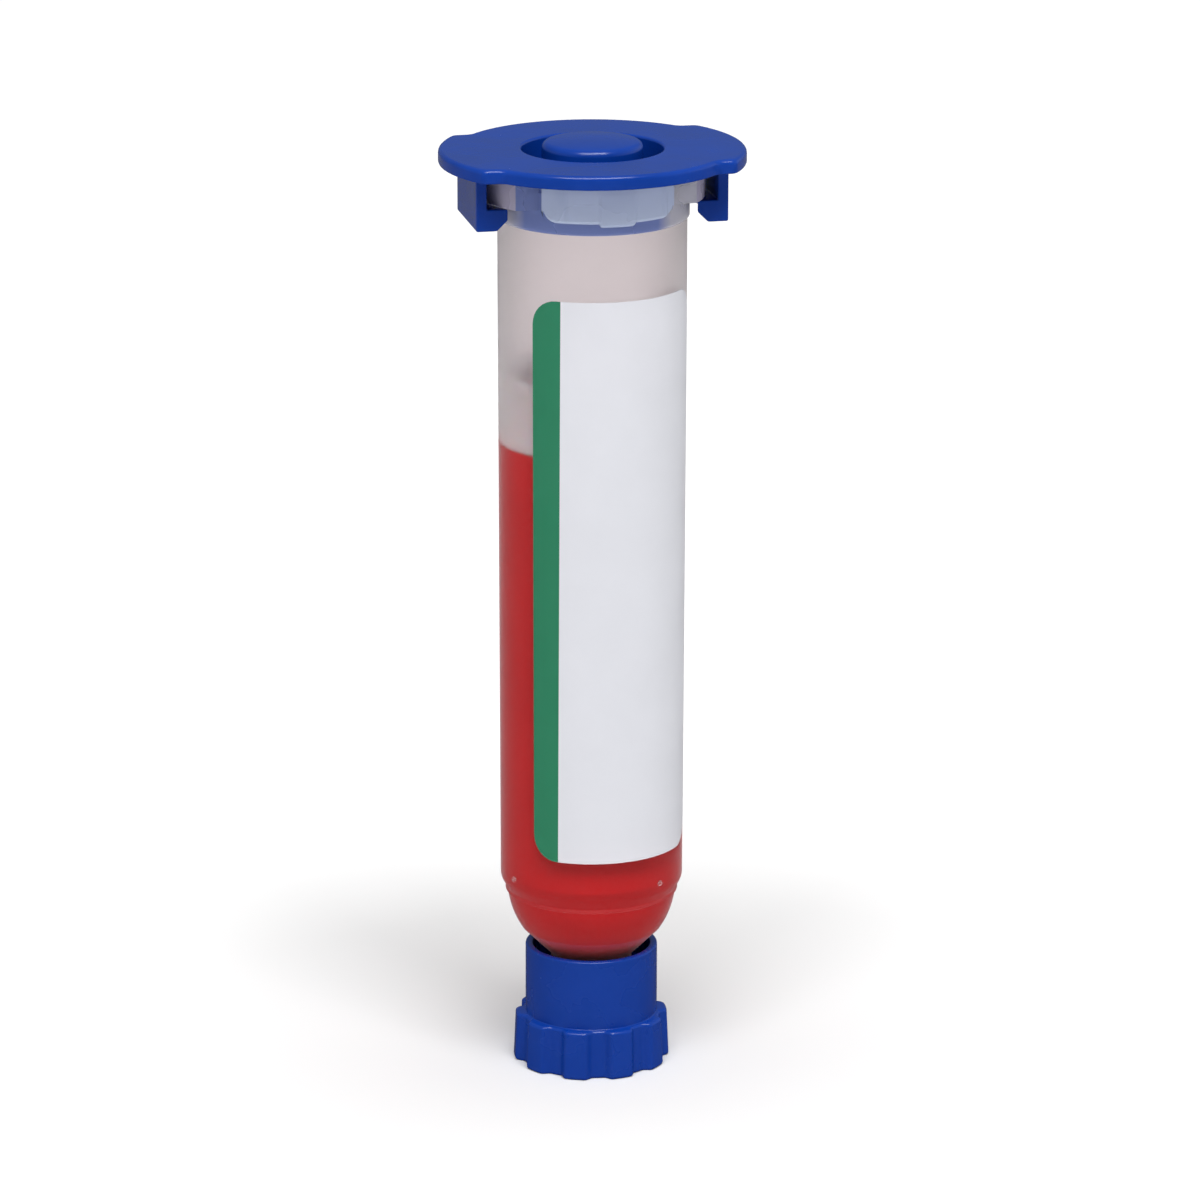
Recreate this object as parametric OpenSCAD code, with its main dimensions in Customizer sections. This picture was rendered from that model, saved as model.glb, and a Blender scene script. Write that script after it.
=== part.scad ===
// Filled dispensing syringe that stands on its tip cap.
// The frame's origin is the centre of the tip cap's base, +Z runs up the barrel, sizes are in millimetres.

/* [Barrel] */
// Diameter of the bore that the piston runs in
bore_d = 22.4; // [20:0.2:26]
// Wall of the tube under the flange
tube_wall_top = 1.3; // [1.1:0.1:2]
// Wall of the tube at the shoulder, thinner because the mould is drafted
tube_wall_low = 1.1; // [0.9:0.1:1.8]
// Height of the tube from the shoulder to the top of the flange
tube_h = 98.5; // [92:0.5:120]
// Straight length under the collar that a holder grips
seat_len = 8; // [4:0.5:12]
// Height of the sloped shoulder between the tube and the dome
shoulder_h = 2; // [1:0.1:3]
// How far the shoulder steps inwards
shoulder_step = 0.95; // [0.5:0.05:1.5]
// Wall of the dome
dome_wall = 1.15; // [0.9:0.05:1.6]
// Angle below the dome's centre at which the dome turns into a cone
dome_angle = 34; // [28:1:38]

/* [Flange] */
// How far the two ears stand out from the tube
ear_out = 2.4; // [2:0.1:3.5]
// Thickness of the ears
ear_t = 4.2; // [3.5:0.1:5]
// Width of the ears across their flats
ear_w = 17.6; // [15:0.2:20]
// How far the neck under the cap stands out from the tube
neck_out = 0.3; // [0.2:0.05:0.4]
// How far the pads of the collar stand out from the tube
pad_out = 1.1; // [0.8:0.1:1.5]
// How far the gaps between the pads stand out from the tube
gap_out = 0.5; // [0.2:0.1:0.7]
// Angle that each of the collar's two panels covers round the tube
panel_span = 82; // [60:1:88]
// Number of pads on each panel
pad_count = 3; // [1:1:5]
// Drop from the top of the flange to the ledge above the pads
ledge_drop = 1.9; // [1:0.1:3]
// Drop from the top of the flange to the foot of the collar
collar_drop = 7.2; // [6.8:0.1:9]

/* [Outlet] */
// Length from the end of the outlet to the rim of the dome
outlet_drop = 21.6; // [20.8:0.1:26]
// Diameter of the tapered nozzle at its end
nozzle_d = 3.95; // [3.6:0.05:4.2]
// Length of the tapered nozzle
nozzle_len = 8; // [7:0.1:9]
// Diameter of the hole through the nozzle
outlet_hole_d = 2.4; // [1.6:0.1:2.6]
// Outside diameter of the locking collar
lock_d = 11; // [10:0.1:12]
// Wall of the locking collar
lock_wall = 1.45; // [1:0.05:1.6]
// How far the nozzle stands out of the locking collar
nozzle_out = 2.1; // [1.5:0.1:3]

/* [End cap] */
// How far the round plate reaches out past the ears
plate_out = 3.4; // [2:0.1:4.5]
// Thickness of the plate
plate_t = 1.7; // [1.2:0.1:2.5]
// Width of the two wings
wing_w = 23; // [16:0.2:25]
// How far the wings reach out past the round plate
wing_out = 1.95; // [1.5:0.05:5]
// Length of the plug in the bore
plug_len = 7.3; // [6:0.1:10]
// Wall of the plug
plug_wall = 1.75; // [1.2:0.05:2.2]
// Diameter of the raised button
button_d = 13.4; // [10:0.2:15]
// How far the button stands above the plate
button_rise = 0.7; // [0.3:0.1:1.5]
// Width of a hook
hook_w = 13.6; // [10:0.2:15]
// Thickness of a hook's leg
leg_t = 1.4; // [1:0.1:2]
// Height of a hook's toe
toe_h = 2.9; // [2:0.1:3.5]

/* [Piston and fill] */
// Height of the fill at the wall, above the lower end of the bore
fill_h = 60.2; // [40:0.2:66]
// Height of the piston's skirt
piston_h = 9.4; // [7:0.2:12]
// Height of the piston's conical nose
nose_h = 7.6; // [5:0.2:9]
// Wall of the piston
piston_wall = 1; // [0.8:0.1:1.5]

/* [Label] */
// Gap between the label and the straight length under the collar
label_top_gap = 0.9; // [0.5:0.1:10]
// Gap between the label and the shoulder
label_low_gap = 5.4; // [2:0.1:20]
// Angle that the label covers round the tube
label_span = 120; // [60:1:180]
// Angle of the label's middle, from the front towards the right
label_turn = 10; // [-30:1:30]
// Radius of the label's corners
label_corner_r = 3.5; // [1:0.5:6]

/* [Tip cap] */
// Outside diameter of the skirt
skirt_d = 17.9; // [17.2:0.1:19]
// Wall of the skirt
skirt_wall = 1; // [0.8:0.05:1.2]
// How far the lobes of the base ring stand out from the skirt
ring_out = 1.65; // [1.4:0.05:3]
// Height of the base ring
ring_h = 6.7; // [5:0.1:8]
// Number of lobes round the base ring
lobe_count = 10; // [6:1:16]
// Depth of the grooves between the lobes
lobe_depth = 0.9; // [0.4:0.1:1.2]
// Height of the floor above the base
tip_floor_h = 2; // [1.6:0.1:3]

/* [Hidden] */
$fn = 96;

// Overrun of every cut past the face that it opens
overrun = 1;

// Running clearances between pieces that move past each other
piston_clearance = 0.05;
plug_clearance = 0.1;
nozzle_clearance = 0.1;
lock_clearance = 0.15;
hook_clearance = 0.5;
toe_clearance = 0.2;
collar_clearance = 0.7;
rim_clearance = 1.1;
// Gaps between the fill and what it lies against
film_gap = 0.02;
nose_gap = 0.1;
heel_gap = 0.3;
// Room left under the piston's skirt at the end of its stroke
stop_gap = 0.5;
// Room between the end of the nozzle and the floor of the tip cap
outlet_gap = 0.6;

// Radii of the barrel
bore_r = bore_d / 2;
seat_r = bore_r + tube_wall_top;
tube_low_r = bore_r + tube_wall_low;
dome_r = tube_low_r - shoulder_step;
dome_in_r = dome_r - dome_wall;
ear_r = seat_r + ear_out;
neck_r = seat_r + neck_out;
pad_r = seat_r + pad_out;
gap_r = seat_r + gap_out;
lock_r = lock_d / 2;
lock_in_r = lock_r - lock_wall;
outlet_hole_r = outlet_hole_d / 2;
// Taper of the nozzle: growth of its radius per length
nozzle_taper_share = 0.03;
nozzle_r = nozzle_d / 2;
nozzle_root_r = nozzle_r + nozzle_len * nozzle_taper_share;
nozzle_mouth_r = nozzle_r + nozzle_out * nozzle_taper_share;

// Heights of the barrel
outlet_z = tip_floor_h + outlet_gap;
nozzle_root_z = outlet_z + nozzle_len;
lock_mouth_z = outlet_z + nozzle_out;
dome_z = outlet_z + outlet_drop;
// The centre of the dome's curve lies above the rim of the dome
dome_lift = 1.2;
dome_centre_z = dome_z + dome_lift;
shoulder_z = dome_z + shoulder_h;
flange_z = shoulder_z + tube_h;
collar_z = flange_z - collar_drop;
seat_z = collar_z - seat_len;
ledge_z = flange_z - ledge_drop;
ear_z = flange_z - ear_t;
// The chamfers under the neck, the pads and the gaps rise from the foot of the collar
neck_chamfer_share = 1;
neck_z = collar_z + neck_out * neck_chamfer_share;
pad_chamfer_share = 1.25;
pad_z = collar_z + pad_out * pad_chamfer_share;
gap_chamfer_share = 4.4;
gap_z = collar_z + gap_out * gap_chamfer_share;
// How much higher the inner shoulder lies than the outer one
shoulder_lift = 0.6;
bore_end_z = shoulder_z + shoulder_lift;

// The cone under the dome ends at the locking collar
lock_root_z = bowl_foot_z(dome_r, lock_r);

// The double thread inside the locking collar
thread_starts = 2;
thread_lead = 5;
thread_depth = 0.5;
thread_width = 0.9;
thread_bite = 0.3;
thread_inset = 0.7;
thread_in_r = lock_in_r - thread_depth;
thread_h = nozzle_root_z - lock_mouth_z - 2 * thread_inset;
thread_twist = -360 * thread_h / thread_lead;
thread_slices = 14;
thread_facets = 16;

// The two small nubs on the lower end of the tube
nub_r = 0.45;
nub_rise = 1.25;
nub_angles = [-160, -53];
nub_z = shoulder_z + nub_rise;
// The middles of the collar's two panels, and the share of its stretch of a panel that a pad fills
panel_turns = [-90, 90];
pad_share = 0.74;

// Places of the end cap
plate_r = ear_r + plate_out;
wing_r = plate_r + wing_out;
wing_half = wing_w / 2;
wing_corner_r = 0.6;
wing_fillet_r = 1.5;
plug_r = bore_r - plug_clearance;
plug_z = flange_z - plug_len;
plug_floor_t = 1.6;
groove_r = plug_r - plug_wall;
button_r = button_d / 2;
button_edge_r = 1.1;
button_wall = 1.6;
plate_top_z = flange_z + plate_t;
button_top_z = plate_top_z + button_rise;
leg_in = ear_r + hook_clearance;
leg_out = leg_in + leg_t;
toe_r = pad_r + collar_clearance;
toe_top_z = ear_z - toe_clearance;
toe_z = toe_top_z - toe_h;
toe_chamfer = 1.4;
// Height inside the plate at which the hooks and the plug are rooted
root_share = 0.5;
root_z = flange_z + plate_t * root_share;

// Places of the piston
piston_r = bore_r - piston_clearance;
piston_z = bore_end_z + fill_h;
piston_top_z = piston_z + piston_h;
piston_end_z = bore_end_z + stop_gap;
wiper_h = 1.6;
wiper_relief = 0.35;
nose_root_r = piston_r - piston_wall;
nose_tip_r = nose_root_r - nose_h;
cup_r = piston_r - piston_wall;
heel_top_z = piston_end_z - heel_gap;

// Places of the label
label_t = 0.1;
label_top_z = seat_z - label_top_gap;
label_low_z = shoulder_z + label_low_gap;
label_mid_angle = label_turn - 90;

// Places of the tip cap
skirt_r = skirt_d / 2;
skirt_in_r = skirt_r - skirt_wall;
// The skirt reaches up round the locking collar and its rim stays clear of the cone under the dome
tip_cap_h = lock_root_z - lock_r + skirt_in_r - rim_clearance;
ring_r = skirt_r + ring_out;
ring_root_r = ring_r - lobe_depth;
ring_edge = 0.5;
// How much narrower the base ring is at its top
ring_draft = 0.3;
lobe_share = 0.58;
lobe_turn = -6;
socket_r = thread_in_r - lock_clearance;
socket_top_z = nozzle_root_z - outlet_gap;
base_recess_share = 0.68;
base_recess_r = ring_root_r * base_recess_share;
base_recess_h = 0.6;

// Radius of the curve of a bowl whose rim has a radius
function bowl_r(r) = sqrt(r * r + dome_lift * dome_lift);

// Middle of the 45 degree chord that cuts a bowl off, as far out from the axis as below the bowl's centre
function bowl_middle(r) = bowl_r(r) * cos(45 - dome_angle) * cos(45);

// Height at which the cone under a bowl has shrunk to a radius
function bowl_foot_z(r, foot_r) = dome_centre_z - 2 * bowl_middle(r) + foot_r;

// Radius of the drafted tube at a height
function tube_r(z) = tube_low_r + (seat_r - tube_low_r) * (z - shoulder_z) / (seat_z - shoulder_z);

// A direction in plan
function toward(angle) = [cos(angle), sin(angle)];

// Half section of a round bowl whose foot is a 45 degree cone, down to a radius
module bowl_section(r, foot_r) {
    middle = bowl_middle(r);
    foot_z = bowl_foot_z(r, foot_r);
    intersection() {
        translate([0, dome_centre_z]) circle(bowl_r(r));
        polygon([[0, dome_centre_z - 2 * middle], [2 * middle - dome_lift, dome_z], [0, dome_z]]);
    }
    polygon([
        [0, foot_z],
        [foot_r, foot_z],
        [middle, dome_centre_z - middle],
        [0, dome_centre_z - middle]
    ]);
}

// Half section of the barrel's outside, without its flange
module barrel_outline() {
    bowl_section(dome_r, lock_r);
    polygon([
        [0, dome_z],
        [dome_r, dome_z],
        [tube_low_r, shoulder_z],
        [seat_r, seat_z],
        [seat_r, flange_z],
        [0, flange_z]
    ]);
    polygon([
        [0, outlet_z],
        [nozzle_r, outlet_z],
        [nozzle_mouth_r, lock_mouth_z],
        [lock_r, lock_mouth_z],
        [lock_r, lock_root_z],
        [0, lock_root_z]
    ]);
}

// Half section of the barrel's inside, shrunk by a gap, up to a height
module barrel_inside(gap, top_z, low_z) {
    bowl_section(dome_in_r - gap, outlet_hole_r - gap);
    polygon([
        [0, dome_z],
        [dome_in_r - gap, dome_z],
        [dome_in_r - gap, bore_end_z - shoulder_h],
        [bore_r - gap, bore_end_z],
        [bore_r - gap, top_z],
        [0, top_z]
    ]);
    polygon([
        [0, low_z],
        [outlet_hole_r - gap, low_z],
        [outlet_hole_r - gap, bowl_foot_z(dome_in_r - gap, outlet_hole_r - gap)],
        [0, bowl_foot_z(dome_in_r - gap, outlet_hole_r - gap)]
    ]);
}

// Half section of the ring gap between the nozzle and the locking collar
module lock_gap() {
    polygon([
        [nozzle_mouth_r, lock_mouth_z],
        [nozzle_root_r, nozzle_root_z],
        [lock_in_r, nozzle_root_z],
        [lock_in_r, lock_mouth_z - overrun],
        [nozzle_mouth_r, lock_mouth_z - overrun]
    ]);
}

// A sector of a disc in plan, wider than the disc itself
module sector(r, middle, span) {
    far = r / cos(span / 2);
    polygon([[0, 0], far * toward(middle - span / 2), far * toward(middle + span / 2)]);
}

// The two helical ridges inside the locking collar
module lock_thread() {
    ridge_angle = 360 * thread_width / thread_lead;
    translate([0, 0, lock_mouth_z + thread_inset])
        linear_extrude(thread_h, twist = thread_twist, slices = thread_slices, $fn = thread_facets)
            for (start = [0 : thread_starts - 1])
                difference() {
                    intersection() {
                        circle(lock_in_r + thread_bite);
                        sector(lock_in_r + overrun, start * 360 / thread_starts, ridge_angle);
                    }
                    circle(thread_in_r);
                }
}

// A round collar with a chamfered foot
module collar_ring(r, foot_z) {
    rotate_extrude()
        polygon([
            [bore_r, collar_z],
            [seat_r, collar_z],
            [r, foot_z],
            [r, ledge_z],
            [bore_r, ledge_z]
        ]);
}

// A block that covers sectors of the collar
module collar_sectors(middles, span) {
    translate([0, 0, collar_z])
        linear_extrude(flange_z - collar_z)
            for (middle = middles)
                sector(pad_r + overrun, middle, span);
}

// A neck all round, with two panels between the ears and pads on them
module collar() {
    stretch = panel_span / pad_count;
    collar_ring(neck_r, neck_z);
    for (turn = panel_turns) {
        intersection() {
            collar_ring(gap_r, gap_z);
            collar_sectors([turn], panel_span);
        }
        intersection() {
            collar_ring(pad_r, pad_z);
            collar_sectors([for (i = [0 : pad_count - 1]) turn + stretch * (i + 0.5) - panel_span / 2],
                stretch * pad_share);
        }
    }
}

// Two rounded ears with flats between them
module ears() {
    translate([0, 0, ear_z])
        linear_extrude(ear_t)
            intersection() {
                circle(ear_r);
                square([2 * ear_r, ear_w], center = true);
            }
}

module nubs() {
    for (angle = nub_angles)
        rotate([0, 0, angle])
            translate([tube_low_r, 0, nub_z])
                sphere(nub_r);
}

module barrel() {
    color("gainsboro", 0.5) {
        difference() {
            union() {
                rotate_extrude() barrel_outline();
                collar();
                ears();
                nubs();
            }
            rotate_extrude() barrel_inside(0, flange_z + overrun, outlet_z - overrun);
            rotate_extrude() lock_gap();
        }
        lock_thread();
    }
}

// Material added in one inner corner between the round plate and a wing
module wing_fillet() {
    middle_y = wing_half + wing_fillet_r;
    middle_x = sqrt(pow(plate_r + wing_fillet_r, 2) - pow(middle_y, 2));
    touch = plate_r / (plate_r + wing_fillet_r);
    difference() {
        polygon([
            [0, 0],
            [middle_x, 0],
            [middle_x, middle_y],
            [middle_x * touch, middle_y * touch]
        ]);
        translate([middle_x, middle_y]) circle(wing_fillet_r);
    }
}

// Material cut from one outer corner of a wing
module wing_corner() {
    middle_y = wing_half - wing_corner_r;
    middle_x = sqrt(pow(wing_r - wing_corner_r, 2) - pow(middle_y, 2));
    reach = (wing_r + overrun) / (wing_r - wing_corner_r);
    difference() {
        polygon([
            [middle_x, middle_y],
            [middle_x, wing_half + overrun],
            [middle_x * reach, wing_half + overrun],
            [middle_x * reach, middle_y * reach]
        ]);
        translate([middle_x, middle_y]) circle(wing_corner_r);
    }
}

// Outline of the end cap's plate with its two wings
module plate_outline() {
    circle(plate_r);
    difference() {
        intersection() {
            circle(wing_r);
            square([2 * wing_r, wing_w], center = true);
        }
        for (x = [0, 1], y = [0, 1])
            mirror([x, 0]) mirror([0, y]) wing_corner();
    }
    for (x = [0, 1], y = [0, 1])
        mirror([x, 0]) mirror([0, y]) wing_fillet();
}

// Half section of the ring groove round the button
module groove_section() {
    difference() {
        translate([0, plug_z + plug_floor_t])
            square([groove_r, button_top_z + overrun - plug_z - plug_floor_t]);
        button_section();
    }
}

// Half section of the button, with a rounded top edge
module button_section() {
    square_z = button_top_z - button_edge_r;
    polygon([
        [0, plug_z],
        [button_r, plug_z],
        [button_r, square_z],
        [button_r - button_edge_r, square_z],
        [button_r - button_edge_r, button_top_z],
        [0, button_top_z]
    ]);
    intersection() {
        translate([button_r - button_edge_r, square_z]) circle(button_edge_r);
        translate([button_r - button_edge_r, square_z]) square(button_edge_r);
    }
}

// The two hooks under the wings
module hooks() {
    for (side = [0, 180])
        rotate([0, 0, side])
            difference() {
                translate([0, -hook_w / 2, toe_z])
                    cube([leg_out, hook_w, root_z - toe_z]);
                translate([0, 0, toe_z - overrun])
                    cylinder(r = toe_r, h = toe_h + 2 * overrun);
                translate([0, 0, toe_z])
                    cylinder(r1 = toe_r + toe_chamfer, r2 = toe_r, h = toe_chamfer);
                translate([-overrun, -hook_w, toe_top_z])
                    cube([leg_in + overrun, 2 * hook_w, root_z - toe_top_z + overrun]);
            }
}

module end_cap() {
    color("royalblue") {
        difference() {
            union() {
                translate([0, 0, flange_z]) linear_extrude(plate_t) plate_outline();
                translate([0, 0, plug_z]) cylinder(r = plug_r, h = root_z - plug_z);
                rotate_extrude() button_section();
            }
            rotate_extrude() groove_section();
            translate([0, 0, plug_z - overrun])
                cylinder(r = button_r - button_wall, h = button_top_z - button_wall - plug_z + overrun);
        }
        hooks();
    }
}

// Half section of the piston's nose at a height, grown by a gap
module nose_section(root_z, gap) {
    polygon([
        [0, root_z - nose_h - gap],
        [nose_tip_r, root_z - nose_h - gap],
        [nose_root_r, root_z - gap],
        [0, root_z - gap]
    ]);
}

module piston() {
    color("whitesmoke", 0.8)
        rotate_extrude()
            difference() {
                union() {
                    polygon([
                        [0, piston_z],
                        [piston_r, piston_z],
                        [piston_r, piston_z + wiper_h],
                        [piston_r - wiper_relief, piston_z + wiper_h + wiper_relief],
                        [piston_r - wiper_relief, piston_top_z - wiper_h - wiper_relief],
                        [piston_r, piston_top_z - wiper_h],
                        [piston_r, piston_top_z],
                        [0, piston_top_z]
                    ]);
                    nose_section(piston_z, 0);
                }
                polygon([
                    [0, piston_z - nose_h + piston_wall],
                    [nose_tip_r - piston_wall, piston_z - nose_h + piston_wall],
                    [nose_root_r - piston_wall, piston_z + piston_wall],
                    [cup_r, piston_top_z],
                    [cup_r, piston_top_z + overrun],
                    [0, piston_top_z + overrun]
                ]);
            }
}

// The fill that the piston pushes out, from the piston at rest down to the piston at the end of its stroke
module adhesive_column() {
    color("firebrick")
        rotate_extrude()
            union() {
                difference() {
                    translate([0, heel_top_z])
                        square([bore_r - film_gap, piston_z - nose_gap - heel_top_z]);
                    nose_section(piston_z, nose_gap);
                }
                nose_section(piston_end_z, heel_gap - film_gap);
            }
}

// The fill that stays behind in the dome and in the outlet
module adhesive_heel() {
    color("firebrick")
        rotate_extrude()
            difference() {
                barrel_inside(film_gap, heel_top_z - film_gap, outlet_z);
                nose_section(piston_end_z, heel_gap);
            }
}

// The square corner of the label that is cut round
module label_corner(side, end) {
    lean = 180 * label_corner_r / (PI * seat_r);
    edge_angle = label_mid_angle + side * (label_span / 2 - lean);
    middle_z = end > 0 ? label_top_z - label_corner_r : label_low_z + label_corner_r;
    rotate([0, 0, edge_angle])
        translate([0, 0, middle_z])
            difference() {
                translate([0, side > 0 ? 0 : -2 * label_corner_r, end > 0 ? 0 : -2 * label_corner_r])
                    cube([seat_r + overrun, 2 * label_corner_r, 2 * label_corner_r]);
                rotate([0, 90, 0]) cylinder(r = label_corner_r, h = seat_r + 2 * overrun);
            }
}

module label() {
    color("white")
        difference() {
            rotate([0, 0, label_mid_angle - label_span / 2])
                rotate_extrude(angle = label_span)
                    polygon([
                        [tube_r(label_low_z) + film_gap, label_low_z],
                        [tube_r(label_low_z) + film_gap + label_t, label_low_z],
                        [tube_r(label_top_z) + film_gap + label_t, label_top_z],
                        [tube_r(label_top_z) + film_gap, label_top_z]
                    ]);
            for (side = [-1, 1], end = [-1, 1])
                label_corner(side, end);
        }
}

// Plan of the base ring: grooves between rounded lobes
module ring_plan() {
    period = 360 / lobe_count;
    circle(ring_root_r);
    intersection() {
        circle(ring_r);
        for (i = [0 : lobe_count - 1])
            sector(ring_r + overrun, lobe_turn + i * period, period * lobe_share);
    }
}

// Half section of the base ring's envelope, with eased edges
module ring_envelope() {
    polygon([
        [0, 0],
        [ring_r - ring_edge, 0],
        [ring_r, ring_edge],
        [ring_r - ring_draft, ring_h - ring_edge],
        [ring_r - ring_draft - ring_edge, ring_h],
        [0, ring_h]
    ]);
}

module tip_cap() {
    color("mediumblue") {
        difference() {
            union() {
                intersection() {
                    linear_extrude(ring_h) ring_plan();
                    rotate_extrude() ring_envelope();
                }
                cylinder(r = skirt_r, h = tip_cap_h);
            }
            translate([0, 0, tip_floor_h])
                cylinder(r = skirt_in_r, h = tip_cap_h - tip_floor_h + overrun);
            translate([0, 0, -overrun])
                cylinder(r = base_recess_r, h = base_recess_h + overrun);
        }
        rotate_extrude()
            polygon([
                [nozzle_r + nozzle_clearance - outlet_gap * nozzle_taper_share, tip_floor_h],
                [socket_r, tip_floor_h],
                [socket_r, socket_top_z],
                [nozzle_root_r + nozzle_clearance - outlet_gap * nozzle_taper_share, socket_top_z]
            ]);
    }
}

barrel();
end_cap();
piston();
adhesive_column();
adhesive_heel();
label();
tip_cap();
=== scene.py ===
"""A filled dispensing syringe that stands on its tip cap, dressed for a studio picture."""

import math

import bmesh
import bpy
from mathutils import Matrix, Vector


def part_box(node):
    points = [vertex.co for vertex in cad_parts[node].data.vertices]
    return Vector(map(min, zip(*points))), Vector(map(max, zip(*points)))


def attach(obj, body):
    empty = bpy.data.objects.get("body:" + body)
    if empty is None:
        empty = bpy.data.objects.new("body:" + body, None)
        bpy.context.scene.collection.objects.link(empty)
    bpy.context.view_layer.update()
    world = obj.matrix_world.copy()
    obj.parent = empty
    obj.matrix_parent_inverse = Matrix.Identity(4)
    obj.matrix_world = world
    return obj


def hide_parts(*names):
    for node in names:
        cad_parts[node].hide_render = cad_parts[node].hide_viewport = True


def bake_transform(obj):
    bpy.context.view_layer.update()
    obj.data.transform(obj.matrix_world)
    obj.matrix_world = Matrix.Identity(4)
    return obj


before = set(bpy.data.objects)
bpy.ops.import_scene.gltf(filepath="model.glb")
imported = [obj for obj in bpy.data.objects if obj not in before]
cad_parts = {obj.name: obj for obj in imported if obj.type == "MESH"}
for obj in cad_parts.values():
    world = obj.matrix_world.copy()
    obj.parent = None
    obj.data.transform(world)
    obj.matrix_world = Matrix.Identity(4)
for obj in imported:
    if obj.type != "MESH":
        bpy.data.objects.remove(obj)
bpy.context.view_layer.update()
scene = bpy.context.scene
scene.view_settings.view_transform = "Standard"

# Sizes are in millimetres, heights are above the base and angles are in degrees
MM = 0.001
# In metres: corners this near are one corner, and a face this narrow is a sliver
TOUCH = 1e-7
SLIVER = 5e-6
# Room for rounding when a place is compared with a size
SLACK = 0.01

# The camera stands a little to the left of the front and looks down through a long lens
CAMERA_LENS = 180
CAMERA_SENSOR = 36
CAMERA_TURN = -12
CAMERA_PITCH = 16.4
CAMERA_BACK = 770.8
CAMERA_SIDE = 1.1
CAMERA_HEIGHT = 291.6
CAMERA_ROLL = 0.105


def add_camera():
    """A long lens at the photograph's viewing angle."""
    data = bpy.data.cameras.new("camera")
    data.lens = CAMERA_LENS
    data.sensor_width = CAMERA_SENSOR
    camera = bpy.data.objects.new("camera", data)
    scene.collection.objects.link(camera)
    turn = math.radians(CAMERA_TURN)
    back = Vector((math.sin(turn), -math.cos(turn), 0))
    right = Vector((math.cos(turn), math.sin(turn), 0))
    up = Vector((0, 0, 1))
    camera.location = (back * CAMERA_BACK + right * CAMERA_SIDE + up * CAMERA_HEIGHT) * MM
    tilt = Matrix.Rotation(math.radians(90 - CAMERA_PITCH), 3, "X")
    roll = Matrix.Rotation(math.radians(CAMERA_ROLL), 3, "Z")
    camera.rotation_euler = (Matrix.Rotation(turn, 3, "Z") @ tilt @ roll).to_euler()
    scene.camera = camera


add_camera()


def heights(node):
    """Lowest and highest place of a CAD node, in millimetres."""
    low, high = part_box(node)
    return low.z / MM, high.z / MM


# The outlet of the barrel: a nozzle inside a locking collar with a double thread
OUTLET_Z, FLANGE_Z = heights("barrel")
OUTLET_HOLE_R = 1.2
OUTLET_HOLE_EASE = 0.1
NOZZLE_R = 1.975
NOZZLE_ROOT_R = 2.215
NOZZLE_ROOT_Z = OUTLET_Z + 8
NOZZLE_EASE = 0.2
LOCK_R = 5.5
LOCK_IN_R = 4.05
LOCK_MOUTH_Z = OUTLET_Z + 2.1
LOCK_EASE = 0.3
THREAD_STARTS = (0, 180)
THREAD_LEAD = 5
THREAD_DEPTH = 0.5
THREAD_WIDTH = 0.9
THREAD_CREST = 0.36
THREAD_INSET = 0.7
THREAD_BITE = 0.3
THREAD_STEPS = 48

# The dome, with a bead round its top
DOME_Z = 24.2
DOME_R = 11.35
DOME_IN_R = 10.2
DOME_ANGLE = 34
DOME_LIFT = 1.2
DOME_STEPS = 10
CONE_ANGLE = 45
CONE_EASE = 0.3
BEAD_OUT = 0.34
BEAD_RISE = 0.2
BEAD_EASE = 0.12
BEAD_TOP_OUT = 0.12
BEAD_TOP_RISE = 0.6
BEAD_TOP_EASE = 0.1

# The tube, which is drafted up to the straight seat under the collar
BORE_R = 11.2
BORE_END_Z = 26.8
BORE_END_EASE = 0.3
BORE_END_H = 2
BORE_HOLD = 0.6
SHOULDER_Z = 26.2
SHOULDER_EASE = 0.5
SHOULDER_HOLD = 1.5
TUBE_LOW_R = 12.3
SEAT_R = 12.5
COLLAR_Z = FLANGE_Z - 7.2
COLLAR_HOLD = 0.3
SEAT_Z = COLLAR_Z - 8
BARREL_STEPS = 360
NUB_R = 0.38
NUB_SUNK = 0.12
NUB_Z = SHOULDER_Z + 1.25
NUB_ANGLES = (-160, -53)

# The neck with its two padded panels, and the two ears of the flange
NECK_R = 12.8
NECK_Z = COLLAR_Z + 0.3
LEDGE_Z = FLANGE_Z - 1.9
LEDGE_H = 0.3
MOUTH_EASE = 0.2
PANEL_R = 13.15
PANEL_TOP_R = 13.1
PANEL_FOOT_Z = COLLAR_Z + 1.6
PANEL_Z = COLLAR_Z + 2.0
PANEL_TURNS = (-90, 90)
PANEL_HALF_SPAN = 42
PANEL_CORNER_R = 2.0
PAD_R = 13.35
PAD_SPANS = ((-34, -26), (-8, 14), (32, 36))
PAD_EDGE = 1.2
PAD_DROP = 0.45
PAD_DROP_SPAN = 20
PAD_DROP_ROOM = 0.1
PAD_FOOT_LIFT = 0.02
PAD_LEDGE_PART = 3
EAR_Z = FLANGE_Z - 4.2
EAR_R = 14.9
EAR_HALF = 8.8
EAR_ROOT_TURN = 45
OUTER_SKIN_R = SEAT_R - 0.1
ROUNDED_R = BORE_R + 0.4
ROUNDED_Z = COLLAR_Z + 0.2
FLANGE_EDGE_R = 0.18
MILKY_R = NECK_R + 0.03
EAR_SIDE_FACING = 0.8

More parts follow.
